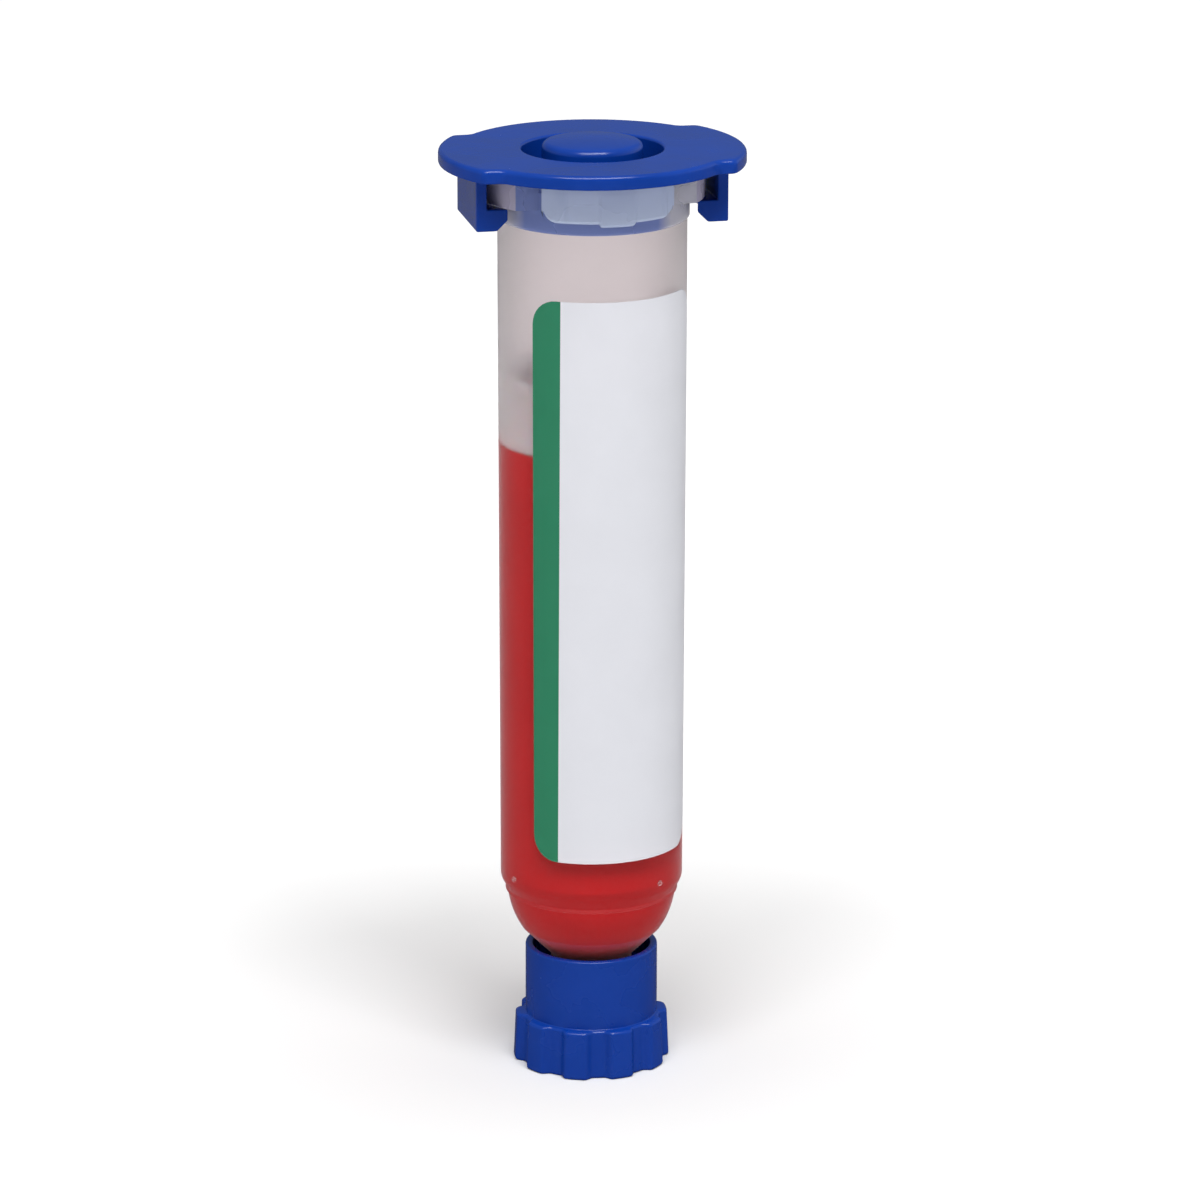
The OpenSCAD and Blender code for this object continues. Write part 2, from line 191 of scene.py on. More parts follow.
# The end cap, whose plug stands in the bore and whose hooks hold the ears
PLUG_Z, BUTTON_TOP_Z = heights("end_cap")
CAP_STEPS = 96
PLATE_Z = FLANGE_Z + 1.9
PLATE_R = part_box("end_cap")[1].y / MM
PLATE_STEPS = 24
WING_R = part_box("end_cap")[1].x / MM
WING_HALF = 11.5
WING_STEPS = 20
WING_CORNER_R = 0.55
WING_FILLET_R = 0.8
RIM_ROUND = 0.6
RIM_UNDER_ROUND = 0.25
PLUG_R = BORE_R - 0.1
PLUG_FLOOR_Z = PLUG_Z + 1.6
PLUG_EASE = 0.5
GROOVE_R = 9.35
GROOVE_LIP = 0.5
GROOVE_LIP_EASE = 0.35
GROOVE_FLOOR_EASE = 0.4
BUTTON_R = 6.7
BUTTON_Z = BUTTON_TOP_Z + 0.3
BUTTON_EASE = 0.9
BUTTON_CROWN = 0.4
CROWN_SHARES = (0.7, 0.5, 0.3, 0.15)
BUTTON_WALL = 1.6
HOLLOW_R = BUTTON_R - BUTTON_WALL
HOLLOW_TOP_Z = BUTTON_TOP_Z - BUTTON_WALL
HOLLOW_EASE = 0.3
HOLLOW_TOP_EASE = 0.5
HOOK_HALF = 6.8
HOOK_ROOT_Z = FLANGE_Z + 0.6
HOOK_ROUNDED_Z = FLANGE_Z + 0.1
HOOK_EDGE_R = 0.22
HOOK_FOLD = 30
HOOK_SLICES = 12
LEG_IN = EAR_R + 0.5
LEG_OUT = LEG_IN + 1.4
TOE_R = 14.3
TOE_TOP_Z = EAR_Z - 0.2
TOE_Z = TOE_TOP_Z - 2.9
TOE_CHAMFER = 1.4

# The piston and the fill below it
NOSE_Z, PISTON_TOP_Z = heights("piston")
NOSE_H = 7.6
NOSE_EASE = 0.6
PISTON_Z = NOSE_Z + NOSE_H
PISTON_R = BORE_R - 0.05
PISTON_WALL = 1.0
NOSE_R = PISTON_R - PISTON_WALL
NOSE_TIP_R = NOSE_R - NOSE_H
WIPER_H = 1.6
WIPER_RELIEF = 0.35
WIPER_EASE = 0.2
LIP_EASE = 0.25
CUP_EASE = 0.6
CUP_TIP_EASE = 0.5
FILL_STEPS = 128
WET = 0.04
NOSE_GAP = 0.1
HEEL_Z = 27.0
HEEL_GAP = 0.02
HEEL_FOOT_Z = OUTLET_Z + 0.1

# The label, with a stripe whose width is a share of the label's
LABEL_UV = "label_uv"
LABEL_LOW_Z, LABEL_TOP_Z = heights("label")
LABEL_SPAN = 120
LABEL_MIDDLE = -80
LABEL_CORNER_R = 3.5
LABEL_CORNER_STEPS = 8
LABEL_COLUMNS = 60
LABEL_CUT_TOUCH = 1e-6
LABEL_T = 0.1
LABEL_GAP = 0.02
STRIPE_TOP_SHARE = 0.158
STRIPE_LOW_SHARE = 0.142

# The tip cap that everything stands on
RIM_Z = heights("tip_cap")[1]
RIM_EASE = 0.3
RIM_IN_EASE = 0.25
RING_R = 10.6
RING_ROOT_R = 9.7
RING_H = 6.7
RING_EASE = 0.45
RING_DRAFT = 0.3
RING_SKIN = 0.5
LOBE_COUNT = 10
LOBE_STEPS = 24
LOBE_TURN = -6
LOBE_HALF_SPAN = 10.4
LOBE_EDGE = 3
SKIRT_R = 8.95
SKIRT_IN_R = 7.95
SKIRT_ROOT_EASE = 0.15
TIP_FLOOR_Z = 2.0
TIP_FLOOR_EASE = 0.3
SOCKET_R = 3.4
SOCKET_Z = NOZZLE_ROOT_Z - 0.6
SOCKET_GAP = 0.08
SOCKET_EASE = 0.25
SOCKET_MOUTH_EASE = 0.15
BASE_RECESS_R = 6.6
BASE_RECESS_H = 0.6
BASE_RECESS_EASE = 0.15
BASE_EASE = 0.3

# Colours of the plastics, the fill and the label
BARREL_TINT = (0.83, 0.78, 0.788)
MILKY_TINT = (0.6, 0.6, 0.62)
HAZE_TINT = (1, 0.95, 0.97)
FLANGE_BLUISH = (0.60, 0.69, 0.92)
FLANGE_BROWNISH = (0.50, 0.46, 0.59)
NECK_PALE = (0.77, 0.76, 0.84)
NECK_BLUE = (0.26, 0.34, 0.74)
PISTON_WHITE = (0.97, 0.94, 0.94)
END_CAP_BLUE = (0.002, 0.042, 0.325)
TIP_CAP_BLUE = (0.002, 0.040, 0.31)
EPOXY_RED = (0.68, 0.008, 0.012)
LABEL_WHITE = (0.81, 0.82, 0.885)
STRIPE_GREEN = (0.02, 0.235, 0.118)

# Where the blue plug shows through the neck, as shares of the neck's radius to the left and right
PLUG_LEFT_SHARES = (-0.93, -0.82)
PLUG_RIGHT_SHARES = (0.66, 0.5)

# Light goes through polypropylene at this index, and noise keeps mostly within this range
POLYPROPYLENE_IOR = 1.49
NOISE_LOW, NOISE_HIGH = 0.3, 0.7

# The floor: paper that glows a little to the camera, least near the syringe so that it reads darker there as
# painted shade, and is dim where it is mirrored near the syringe, a painted dark reflection
FLOOR_REACH = 3000
PAPER_WHITE = (0.8, 0.8, 0.8)
# To glossy rays the paper is darker in front and lighter behind, a painted dark reflection on the caps and
# barrel
MIRROR_NEAR_Y, MIRROR_FAR_Y = -100, 300
MIRROR_NEAR, MIRROR_FAR = 0.04, 0.22
# The glow grows with distance from the syringe, so the paper round its base is painted darker as shade
GLOW_START, GLOW_END = 20, 120
GLOW_NEAR, GLOW_FAR = 0.05, 0.32

# The room: levels of its walls and ceiling, and the shares of a direction where they begin and end
WALL_LEVEL = 0.12
BACKDROP_LEVEL = 0.2
CEILING_LEVEL = 0.4
RIGHT_LEVEL = 0.65
LEFT_LEVEL = 0.42
ROOM_TINT = (0.78, 0.92, 1.0)
BACKDROP_SHARES = (0.0, 0.7)
SIDE_SHARES = (0.38, 0.95)
CEILING_SHARES = (0.45, 0.8)

# Two soft boxes aimed at the middle of the syringe
LIGHT_AIM_Z = 65
LIGHT_DISTANCE = 3000
KEY_LIGHT = {"azimuth": 14, "elevation": 62, "size": 1100, "level": 0.54}
FILL_LIGHT = {"azimuth": -30, "elevation": 58, "size": 1200, "level": 0.45}


# Shaping


def arc(centre_r, centre_z, radius, start, end, steps):
    """Plain corners along an arc of an outline."""
    angles = [math.radians(start + (end - start) * i / steps) for i in range(steps + 1)]
    return [(centre_r + radius * math.cos(a), centre_z + radius * math.sin(a), 0) for a in angles]


def draw_section(bm, outline):
    """A closed half section from (radius, height, ease) corners, each rounded off over its ease."""
    corners = [bm.verts.new((r * MM, 0, z * MM)) for r, z, _ in outline]
    bm.faces.new(corners)
    for amount in sorted({ease for *_, ease in outline if ease}):
        group = [corner for corner, (*_, ease) in zip(corners, outline) if ease == amount]
        round_off(bm, group, amount, "VERTICES", 4)


def round_off(bm, geom, amount, affect="EDGES", segments=2):
    """Rounds edges, or the corners of an outline."""
    bmesh.ops.bevel(bm, geom=geom, offset=amount * MM, segments=segments, profile=0.5, affect=affect,
                    material=-1, clamp_overlap=True)


def turn_section(bm, steps, start=0):
    """Spins the half section that the mesh holds a full turn about the barrel's axis."""
    bmesh.ops.delete(bm, geom=bm.faces[:], context="FACES_ONLY")
    axis_edges = [e for e in bm.edges if all(abs(v.co.x) < TOUCH for v in e.verts)]
    bmesh.ops.delete(bm, geom=axis_edges, context="EDGES")
    rotate(bm, bm.verts, start)
    bmesh.ops.spin(bm, geom=bm.verts[:] + bm.edges[:], cent=(0, 0, 0), axis=(0, 0, 1), angle=math.tau,
                   steps=steps, use_merge=True)
    close_up(bm)


def turned(outline, steps, start=0):
    """A mesh turned from one half section."""
    bm = bmesh.new()
    draw_section(bm, outline)
    turn_section(bm, steps, start)
    return bm


def turned_surface(outline, lead):
    """An open surface turned from a line of corners that ends on the axis, with a flat lead before it."""
    (first_r, first_z, _), (last_r, last_z, _) = outline[0], outline[-1]
    start = [(first_r + lead, first_z, 0)] if lead else []
    # A far corner closes the outline while its corners are rounded
    far_r = last_r - 2 * PLATE_R
    bm = bmesh.new()
    draw_section(bm, start + outline + [(far_r, (first_z + last_z) / 2, 0)])
    bmesh.ops.delete(bm, geom=[v for v in bm.verts if v.co.x < far_r / 2 * MM], context="VERTS")
    turn_section(bm, CAP_STEPS)
    return bm


def close_up(bm, dist=TOUCH):
    """Merges what meets and turns every face outwards."""
    bmesh.ops.remove_doubles(bm, verts=bm.verts, dist=dist)
    bmesh.ops.dissolve_degenerate(bm, edges=bm.edges, dist=dist)
    bmesh.ops.recalc_face_normals(bm, faces=bm.faces)


def rotate(bm, verts, angle):
    """Turns corners about the barrel's axis."""
    bmesh.ops.rotate(bm, verts=verts, cent=(0, 0, 0), matrix=Matrix.Rotation(math.radians(angle), 3, "Z"))


def cut_across(bm, point, direction, dist=TOUCH):
    """Cuts the whole mesh along a plane and keeps both sides."""
    everything = bm.verts[:] + bm.edges[:] + bm.faces[:]
    bmesh.ops.bisect_plane(bm, geom=everything, plane_co=point, plane_no=direction, dist=dist)


def join(bm, other):
    """Adds another mesh to this one."""
    mesh = bpy.data.meshes.new("joined")
    other.to_mesh(mesh)
    other.free()
    bm.from_mesh(mesh)
    bpy.data.meshes.remove(mesh)


def radius_of(point):
    """Distance from the barrel's axis, in millimetres."""
    return math.hypot(point.x, point.y) / MM


def angle_of(point):
    """Angle about the barrel's axis, in degrees from +X."""
    return math.degrees(math.atan2(point.y, point.x))


def from_turn(point, turn):
    """Angle of a point from a direction, in degrees either way."""
    return (angle_of(point) - turn + 180) % 360 - 180


def held(value):
    """A share kept between 0 and 1."""
    return min(max(value, 0), 1)


def put_at_radius(vert, radius):
    """Moves a corner straight out from the axis to a radius."""
    share = radius / radius_of(vert.co)
    vert.co.x *= share
    vert.co.y *= share


def raise_faces(bm, faces):
    """Extrudes faces in place and returns the corners of the raised skin."""
    # With the edges named too, no wall is left where the faces were; their order is the same on every run
    edges = list(dict.fromkeys(edge for face in faces for edge in face.edges))
    made = bmesh.ops.extrude_face_region(bm, geom=faces + edges)
    return [item for item in made["geom"] if isinstance(item, bmesh.types.BMVert)]


def sharp_edges(bm, inside, least=35):
    """Edges that fold by more than an angle, among those whose middle passes a test."""
    limit = math.radians(least)
    folded = [e for e in bm.edges if len(e.link_faces) == 2 and e.calc_face_angle() > limit]
    return [e for e in folded if inside((e.verts[0].co + e.verts[1].co) / 2)]


def add_piece(name, bm, material, smooth_angle=35):
    """Makes a smooth-shaded object at the origin from a mesh."""
    mesh = bpy.data.meshes.new(name)
    bm.to_mesh(mesh)
    bm.free()
    mesh.materials.append(material)
    mesh.shade_smooth()
    mesh.set_sharp_from_angle(angle=math.radians(smooth_angle))
    piece = bpy.data.objects.new(name, mesh)
    scene.collection.objects.link(piece)
    even = piece.modifiers.new("even_normals", "WEIGHTED_NORMAL")
    even.keep_sharp = True
    return piece


# Nodes


def feed(tree, source, socket):
    """Links a socket to an input, or sets the input to a plain value."""
    if isinstance(source, bpy.types.NodeSocket):
        tree.links.new(source, socket)
    else:
        socket.default_value = source


def feed_inputs(tree, node, **sources):
    """Feeds inputs by name, with _ for each space."""
    for name, source in sources.items():
        feed(tree, source, node.inputs[name.replace("_", " ")])


def add_node(tree, kind, **sources):
    """Adds a node and feeds the inputs that are named."""
    node = tree.nodes.new(kind)
    feed_inputs(tree, node, **sources)
    return node


def calculate(tree, operation, first, second, clamp=False):
    """What a Math node makes of two values or sockets."""
    node = tree.nodes.new("ShaderNodeMath")
    node.operation = operation
    node.use_clamp = clamp
    feed(tree, first, node.inputs[0])
    feed(tree, second, node.inputs[1])
    return node.outputs[0]


def vector_node(tree, operation, vector):
    """A Vector Math node that works on a vector."""
    node = tree.nodes.new("ShaderNodeVectorMath")
    node.operation = operation
    feed(tree, vector, node.inputs[0])
    return node


def ramp(tree, value, start, end, to_min=0.0, to_max=1.0):
    """A value carried from one range to another and held at its ends."""
    node = add_node(tree, "ShaderNodeMapRange", Value=value, From_Min=start, From_Max=end, To_Min=to_min,
                    To_Max=to_max)
    return node.outputs["Result"]


def mix_colours(tree, share, first, second):
    """A colour that runs from one to another along a share."""
    node = tree.nodes.new("ShaderNodeMix")
    node.data_type = "RGBA"
    feed(tree, share, node.inputs["Factor"])
    feed(tree, first, node.inputs[6])
    feed(tree, second, node.inputs[7])
    return node.outputs[2]


def opaque(colour):
    """A colour with full alpha, as sockets take it."""
    return (*colour, 1)


def place_in(tree, space="Object"):
    """Coordinates of the shaded point."""
    return tree.nodes.new("ShaderNodeTexCoord").outputs[space]


def split(tree, vector):
    """The X, Y and Z of a vector, as sockets."""
    return add_node(tree, "ShaderNodeSeparateXYZ", Vector=vector).outputs


def ray_mask(tree, kind, but_not):
    """Mask of the rays of one kind, less those of another."""
    path = tree.nodes.new("ShaderNodeLightPath")
    return calculate(tree, "SUBTRACT", path.outputs[kind], path.outputs[but_not], clamp=True)


def seen_through(tree):
    """Mask of the rays that have only gone through clear plastic, and not met anything matt."""
    return ray_mask(tree, "Is Transmission Ray", "Diffuse Depth")


def mirrored(tree):
    """Mask of the rays that come off a glossy surface."""
    return ray_mask(tree, "Is Glossy Ray", "Is Transmission Ray")


# Materials


def make_moulded_skin():
    """Node group of a moulded surface: a cloudy tone, a roughness that wanders and a fine grain."""
    group = bpy.data.node_groups.new("moulded_skin", "ShaderNodeTree")
    group.interface.new_socket(name="Color", in_out="INPUT", socket_type="NodeSocketColor")
    for name in ("Tone Spread", "Cloud Scale", "Grain Scale", "Grain Depth", "Gloss Low", "Gloss High"):
        group.interface.new_socket(name=name, in_out="INPUT", socket_type="NodeSocketFloat")
    for name, kind in (("Color", "NodeSocketColor"), ("Roughness", "NodeSocketFloat"),
                       ("Normal", "NodeSocketVector")):
        group.interface.new_socket(name=name, in_out="OUTPUT", socket_type=kind)
    given = group.nodes.new("NodeGroupInput").outputs
    place = place_in(group)
    cloud = add_node(group, "ShaderNodeTexNoise", Vector=place, Scale=given["Cloud Scale"], Detail=3.0,
                     Roughness=0.55).outputs["Fac"]
    grain = add_node(group, "ShaderNodeTexNoise", Vector=place, Scale=given["Grain Scale"], Detail=2.0,
                     Roughness=0.6).outputs["Fac"]
    # The tone swings evenly about the plain colour
    darkest = calculate(group, "SUBTRACT", 1.0, given["Tone Spread"])
    lightest = calculate(group, "ADD", 1.0, given["Tone Spread"])
    shade = vector_node(group, "SCALE", given["Color"])
    feed(group, ramp(group, cloud, NOISE_LOW, NOISE_HIGH, darkest, lightest), shade.inputs["Scale"])
    gloss = ramp(group, cloud, NOISE_LOW, NOISE_HIGH, given["Gloss Low"], given["Gloss High"])
    depth = calculate(group, "MULTIPLY", grain, given["Grain Depth"])
    bump = add_node(group, "ShaderNodeBump", Strength=1.0, Distance=1.0, Height=depth)
    outlet = group.nodes.new("NodeGroupOutput")
    feed_inputs(group, outlet, Color=shade.outputs["Vector"], Roughness=gloss, Normal=bump.outputs["Normal"])
    return group


MOULDED_SKIN = make_moulded_skin()


def new_material(name):
    """A node material, its tree and its shader."""
    material = bpy.data.materials.new(name)
    material.use_nodes = True
    tree = material.node_tree
    return material, tree, tree.nodes["Principled BSDF"]


def moulded(name, colour, tone_spread, cloud_scale, grain_scale, grain_depth, gloss):
    """A moulded surface whose colour, roughness and grain come from the shared skin."""
    material, tree, shader = new_material(name)
    skin = tree.nodes.new("ShaderNodeGroup")
    skin.node_tree = MOULDED_SKIN
    feed_inputs(tree, skin, Color=opaque(colour), Tone_Spread=tone_spread, Cloud_Scale=cloud_scale,
                Grain_Scale=grain_scale, Grain_Depth=grain_depth * MM, Gloss_Low=gloss[0],
                Gloss_High=gloss[1])
    feed_inputs(tree, shader, Base_Color=skin.outputs["Color"], Roughness=skin.outputs["Roughness"],
                Normal=skin.outputs["Normal"])
    return material, tree, shader


def tint_between(tree, share, first, second):
    """Feeds the shared skin of a material with a colour that runs from one to another along a share."""
    skin = next(node for node in tree.nodes if node.type == "GROUP")
    feed(tree, mix_colours(tree, share, opaque(first), opaque(second)), skin.inputs["Color"])


def let_light_in(tree, shader, tint):
    """Light goes straight through a clear wall, so that what stands behind it is lit as well as seen."""
    path = tree.nodes.new("ShaderNodeLightPath")
    lighting = calculate(tree, "MAXIMUM", path.outputs["Is Shadow Ray"], path.outputs["Is Diffuse Ray"])
    clear = add_node(tree, "ShaderNodeBsdfTransparent", Color=opaque(tint))
    either = tree.nodes.new("ShaderNodeMixShader")
    feed(tree, lighting, either.inputs["Fac"])
    feed(tree, shader.outputs["BSDF"], either.inputs[1])
    feed(tree, clear.outputs["BSDF"], either.inputs[2])
    feed(tree, either.outputs["Shader"], tree.nodes["Material Output"].inputs["Surface"])


def barrel_skin(name, colour, gloss):
    """Natural polypropylene, as the barrel is moulded from."""
    return moulded(name, colour, tone_spread=0.03, cloud_scale=90, grain_scale=900, grain_depth=0.003,
                   gloss=gloss)


def reach_from_axis(tree, place):
    """Distance of a place from the barrel's axis, as a socket."""
    flat = vector_node(tree, "MULTIPLY", place)
    flat.inputs[1].default_value = (1, 1, 0)
    return vector_node(tree, "LENGTH", flat.outputs["Vector"]).outputs["Value"]


def make_barrel_plastic():
    """The thin wall: see-through but hazy, and palest where the eye looks along it."""
    material, tree, shader = barrel_skin("barrel_plastic", BARREL_TINT, gloss=(0.34, 0.4))
    feed_inputs(tree, shader, IOR=POLYPROPYLENE_IOR, Transmission_Weight=0.985, Sheen_Weight=0.35,
                Sheen_Roughness=0.3, Sheen_Tint=opaque(HAZE_TINT))
    let_light_in(tree, shader, BARREL_TINT)
    return material


def make_flange_plastic():
    """The same plastic where it is thick: milkier, bluish over the plug and browner out at the ears."""
    material, tree, shader = barrel_skin("flange_plastic", FLANGE_BLUISH, gloss=(0.24, 0.3))
    feed_inputs(tree, shader, IOR=POLYPROPYLENE_IOR, Transmission_Weight=0.12)
    let_light_in(tree, shader, MILKY_TINT)
    outwards = ramp(tree, reach_from_axis(tree, place_in(tree)), PAD_R * MM, EAR_R * MM)
    tint_between(tree, outwards, FLANGE_BLUISH, FLANGE_BROWNISH)
    return material


def make_neck_plastic():
    """The wall round the blue plug, which shows through its middle."""
    material, tree, shader = barrel_skin("neck_plastic", NECK_PALE, gloss=(0.24, 0.3))
    feed_inputs(tree, shader, IOR=POLYPROPYLENE_IOR, Transmission_Weight=0.35)
    let_light_in(tree, shader, MILKY_TINT)
    place = place_in(tree)
    across = calculate(tree, "DIVIDE", split(tree, place)["X"], reach_from_axis(tree, place))
    over_plug = calculate(tree, "MULTIPLY", ramp(tree, across, *PLUG_LEFT_SHARES),
                          ramp(tree, across, *PLUG_RIGHT_SHARES))
    tint_between(tree, over_plug, NECK_PALE, NECK_BLUE)
    return material


def make_piston_plastic():
    """White polyethylene that lets a little light through."""
    material, tree, shader = moulded("piston_plastic", PISTON_WHITE, tone_spread=0.03, cloud_scale=120,
                                     grain_scale=1500, grain_depth=0.004, gloss=(0.42, 0.5))
    feed_inputs(tree, shader, Subsurface_Weight=0.4, Subsurface_Scale=1.2 * MM)
    return material


def make_end_cap_plastic():
    """Blue polyethylene with a fine satin from the mould."""
    material, tree, shader = moulded("end_cap_plastic", END_CAP_BLUE, tone_spread=0.08, cloud_scale=130,
                                     grain_scale=2600, grain_depth=0.004, gloss=(0.2, 0.28))
    feed_inputs(tree, shader, Specular_IOR_Level=0.35)
    return material


def make_tip_cap_plastic():
    """The same blue, moulded a little smoother and darker."""
    material, tree, shader = moulded("tip_cap_plastic", TIP_CAP_BLUE, tone_spread=0.04, cloud_scale=150,
                                     grain_scale=2200, grain_depth=0.003, gloss=(0.24, 0.3))
    feed_inputs(tree, shader, Specular_IOR_Level=0.35)
    return material


def make_epoxy():
    """Thick red paste that wets the wall."""
    material, tree, shader = moulded("epoxy", EPOXY_RED, tone_spread=0.05, cloud_scale=70, grain_scale=700,
                                     grain_depth=0.004, gloss=(0.3, 0.4))
    feed_inputs(tree, shader, Specular_IOR_Level=0.05)
    return material


def make_label_film():
    """White film with a green stripe down its left edge, a little wider at the top."""
    material, tree, shader = moulded("label_film", LABEL_WHITE, tone_spread=0.015, cloud_scale=110,
                                     grain_scale=3000, grain_depth=0.002, gloss=(0.4, 0.5))
    feed_inputs(tree, shader, Subsurface_Weight=0.3, Subsurface_Radius=(1, 1, 1), Subsurface_Scale=0.4 * MM)
    sheet = tree.nodes.new("ShaderNodeUVMap")
    sheet.uv_map = LABEL_UV
    place = split(tree, sheet.outputs["UV"])
    edge = ramp(tree, place["Y"], 0.0, 1.0, STRIPE_LOW_SHARE, STRIPE_TOP_SHARE)
    tint_between(tree, calculate(tree, "LESS_THAN", place["X"], edge), LABEL_WHITE, STRIPE_GREEN)
    return material


# The barrel


def bowl_radius(rim_r):
    """Radius of the dome's curve, whose centre lies above its rim."""
    return math.hypot(rim_r, DOME_LIFT)


def bowl(rim_r):
    """Corners of a dome from its crease up to its rim."""
    rim_angle = math.degrees(math.asin(DOME_LIFT / bowl_radius(rim_r)))
    return arc(0, DOME_Z + DOME_LIFT, bowl_radius(rim_r), -DOME_ANGLE, -rim_angle, DOME_STEPS)


def cone_foot(rim_r, foot_r):
    """Height at which the cone under a dome has shrunk to a radius."""
    slope = math.radians(CONE_ANGLE)
    middle = bowl_radius(rim_r) * math.cos(slope - math.radians(DOME_ANGLE)) * math.cos(slope)
    return DOME_Z + DOME_LIFT - 2 * middle + foot_r


def tube_radius(z):
    """Radius of the drafted tube at a height."""
    return TUBE_LOW_R + (SEAT_R - TUBE_LOW_R) * (z - SHOULDER_Z) / (SEAT_Z - SHOULDER_Z)


def barrel_outline():
    """Half section of the barrel, up its outside and down its bore."""
    # A hold is a loop beside a corner that keeps the shading even
    return [
        (OUTLET_HOLE_R, OUTLET_Z, OUTLET_HOLE_EASE),
        (NOZZLE_R, OUTLET_Z, NOZZLE_EASE),
        (NOZZLE_ROOT_R, NOZZLE_ROOT_Z, NOZZLE_EASE),
        (LOCK_IN_R, NOZZLE_ROOT_Z, NOZZLE_EASE),
        (LOCK_IN_R, LOCK_MOUTH_Z, LOCK_EASE),
        (LOCK_R, LOCK_MOUTH_Z, LOCK_EASE),
        (LOCK_R, cone_foot(DOME_R, LOCK_R), CONE_EASE),
        *bowl(DOME_R),
        (DOME_R + BEAD_OUT, DOME_Z + BEAD_RISE, BEAD_EASE),
        (DOME_R + BEAD_TOP_OUT, DOME_Z + BEAD_TOP_RISE, BEAD_TOP_EASE),
        (TUBE_LOW_R, SHOULDER_Z, SHOULDER_EASE),
        (tube_radius(SHOULDER_Z + SHOULDER_HOLD), SHOULDER_Z + SHOULDER_HOLD, 0),
        (SEAT_R, SEAT_Z, 0),
        (SEAT_R, COLLAR_Z - COLLAR_HOLD, 0),
        (SEAT_R, COLLAR_Z, 0),
        (NECK_R, NECK_Z, 0),
        (NECK_R, PANEL_FOOT_Z - PAD_DROP - PAD_DROP_ROOM, 0),
        (NECK_R, PANEL_FOOT_Z, 0),
        (NECK_R, PANEL_Z, 0),
        (NECK_R, EAR_Z, 0),
        (NECK_R, LEDGE_Z, 0),
        (SEAT_R, LEDGE_Z + LEDGE_H, 0),
        (SEAT_R, FLANGE_Z, 0),
        (BORE_R, FLANGE_Z, MOUTH_EASE),
        (BORE_R, FLANGE_Z - BORE_HOLD, 0),
        (BORE_R, BORE_END_Z + BORE_HOLD, 0),
        (BORE_R, BORE_END_Z, BORE_END_EASE),
        (DOME_IN_R, BORE_END_Z - BORE_END_H, 0),
        *reversed(bowl(DOME_IN_R)),
        (OUTLET_HOLE_R, cone_foot(DOME_IN_R, OUTLET_HOLE_R), CONE_EASE),
    ]


def make_barrel():
    """Tube, dome, locking outlet, padded neck and eared flange in one clear moulding."""

    def on_flange(point):
        return point.z > ROUNDED_Z * MM and radius_of(point) > ROUNDED_R

    bm = turned(barrel_outline(), BARREL_STEPS)
    for turn in PANEL_TURNS:
        raise_panel(bm, turn)
    raise_ears(bm)
    close_up(bm)
    round_off(bm, sharp_edges(bm, on_flange), FLANGE_EDGE_R)
    close_up(bm, SLIVER)
    for angle in NUB_ANGLES:
        add_nub(bm, angle)
    for start in THREAD_STARTS:
        join(bm, make_thread(start))
    plastics = [make_barrel_plastic(), make_flange_plastic(), make_neck_plastic()]
    for face in bm.faces:
        face.material_index = barrel_plastic_of(face)
    barrel = add_piece("barrel_shell", bm, plastics[0])
    for plastic in plastics[1:]:
        barrel.data.materials.append(plastic)
    sharpen_crease(barrel.data)
    return barrel


def barrel_plastic_of(face):
    """Index of a face's plastic: 0 for the thin wall, 1 for the thick flange and 2 for the neck."""
    middle = face.calc_center_median()
    ear_side = abs(face.normal.y) > EAR_SIDE_FACING and abs(middle.x) > abs(middle.y)
    if middle.z <= COLLAR_Z * MM:
        return 0
    return 1 if radius_of(middle) > MILKY_R and not ear_side else 2


def sharpen_crease(mesh):
    """Keeps the edge between the dome and its cone sharp."""
    crease_z = bowl(DOME_R)[0][1]
    for edge in mesh.edges:
        if all(abs(mesh.vertices[i].co.z / MM - crease_z) < SLACK for i in edge.vertices):
            edge.use_edge_sharp = True


def pad_share(angle):
    """How far a pad stands out of its panel at an angle from the panel's middle, from 0 to 1."""
    return held(max(min(angle - low, high - angle) for low, high in PAD_SPANS) / PAD_EDGE)


def raise_panel(bm, turn):
    """Lifts one panel and its pads out of the neck, with rounded lower corners."""

    def on_panel(face):
        middle = face.calc_center_median()
        on_neck = PANEL_FOOT_Z < middle.z / MM < FLANGE_Z - SLACK and radius_of(middle) > OUTER_SKIN_R
        return on_neck and abs(from_turn(middle, turn)) < PANEL_HALF_SPAN

    for vert in raise_faces(bm, [f for f in bm.faces if on_panel(f)]):
        height = vert.co.z / MM
        angle = from_turn(vert.co, turn)
        inset = math.radians(PANEL_HALF_SPAN - abs(angle)) * NECK_R
        short = min(max(PANEL_CORNER_R - inset, 0), PANEL_CORNER_R)
        rise = PANEL_CORNER_R - math.sqrt(PANEL_CORNER_R ** 2 - short ** 2)
        share = pad_share(angle)
        drop = PAD_DROP * share if abs(angle) < PAD_DROP_SPAN else 0
        lift = rise - drop
        stand = (PAD_R - PANEL_R) * share
        if height < PANEL_FOOT_Z + SLACK:
            if drop > 0:
                put_at_radius(vert, NECK_R + PAD_FOOT_LIFT)
            vert.co.z += lift * MM
        elif height < PANEL_Z + SLACK:
            put_at_radius(vert, PANEL_R + stand)
            vert.co.z = (height + lift) * MM
        elif height < LEDGE_Z - SLACK:
            put_at_radius(vert, PANEL_R + stand)
        elif height < LEDGE_Z + SLACK:
            put_at_radius(vert, PANEL_R + stand / PAD_LEDGE_PART)
        else:
            put_at_radius(vert, PANEL_TOP_R)
    bmesh.ops.remove_doubles(bm, verts=bm.verts, dist=TOUCH)


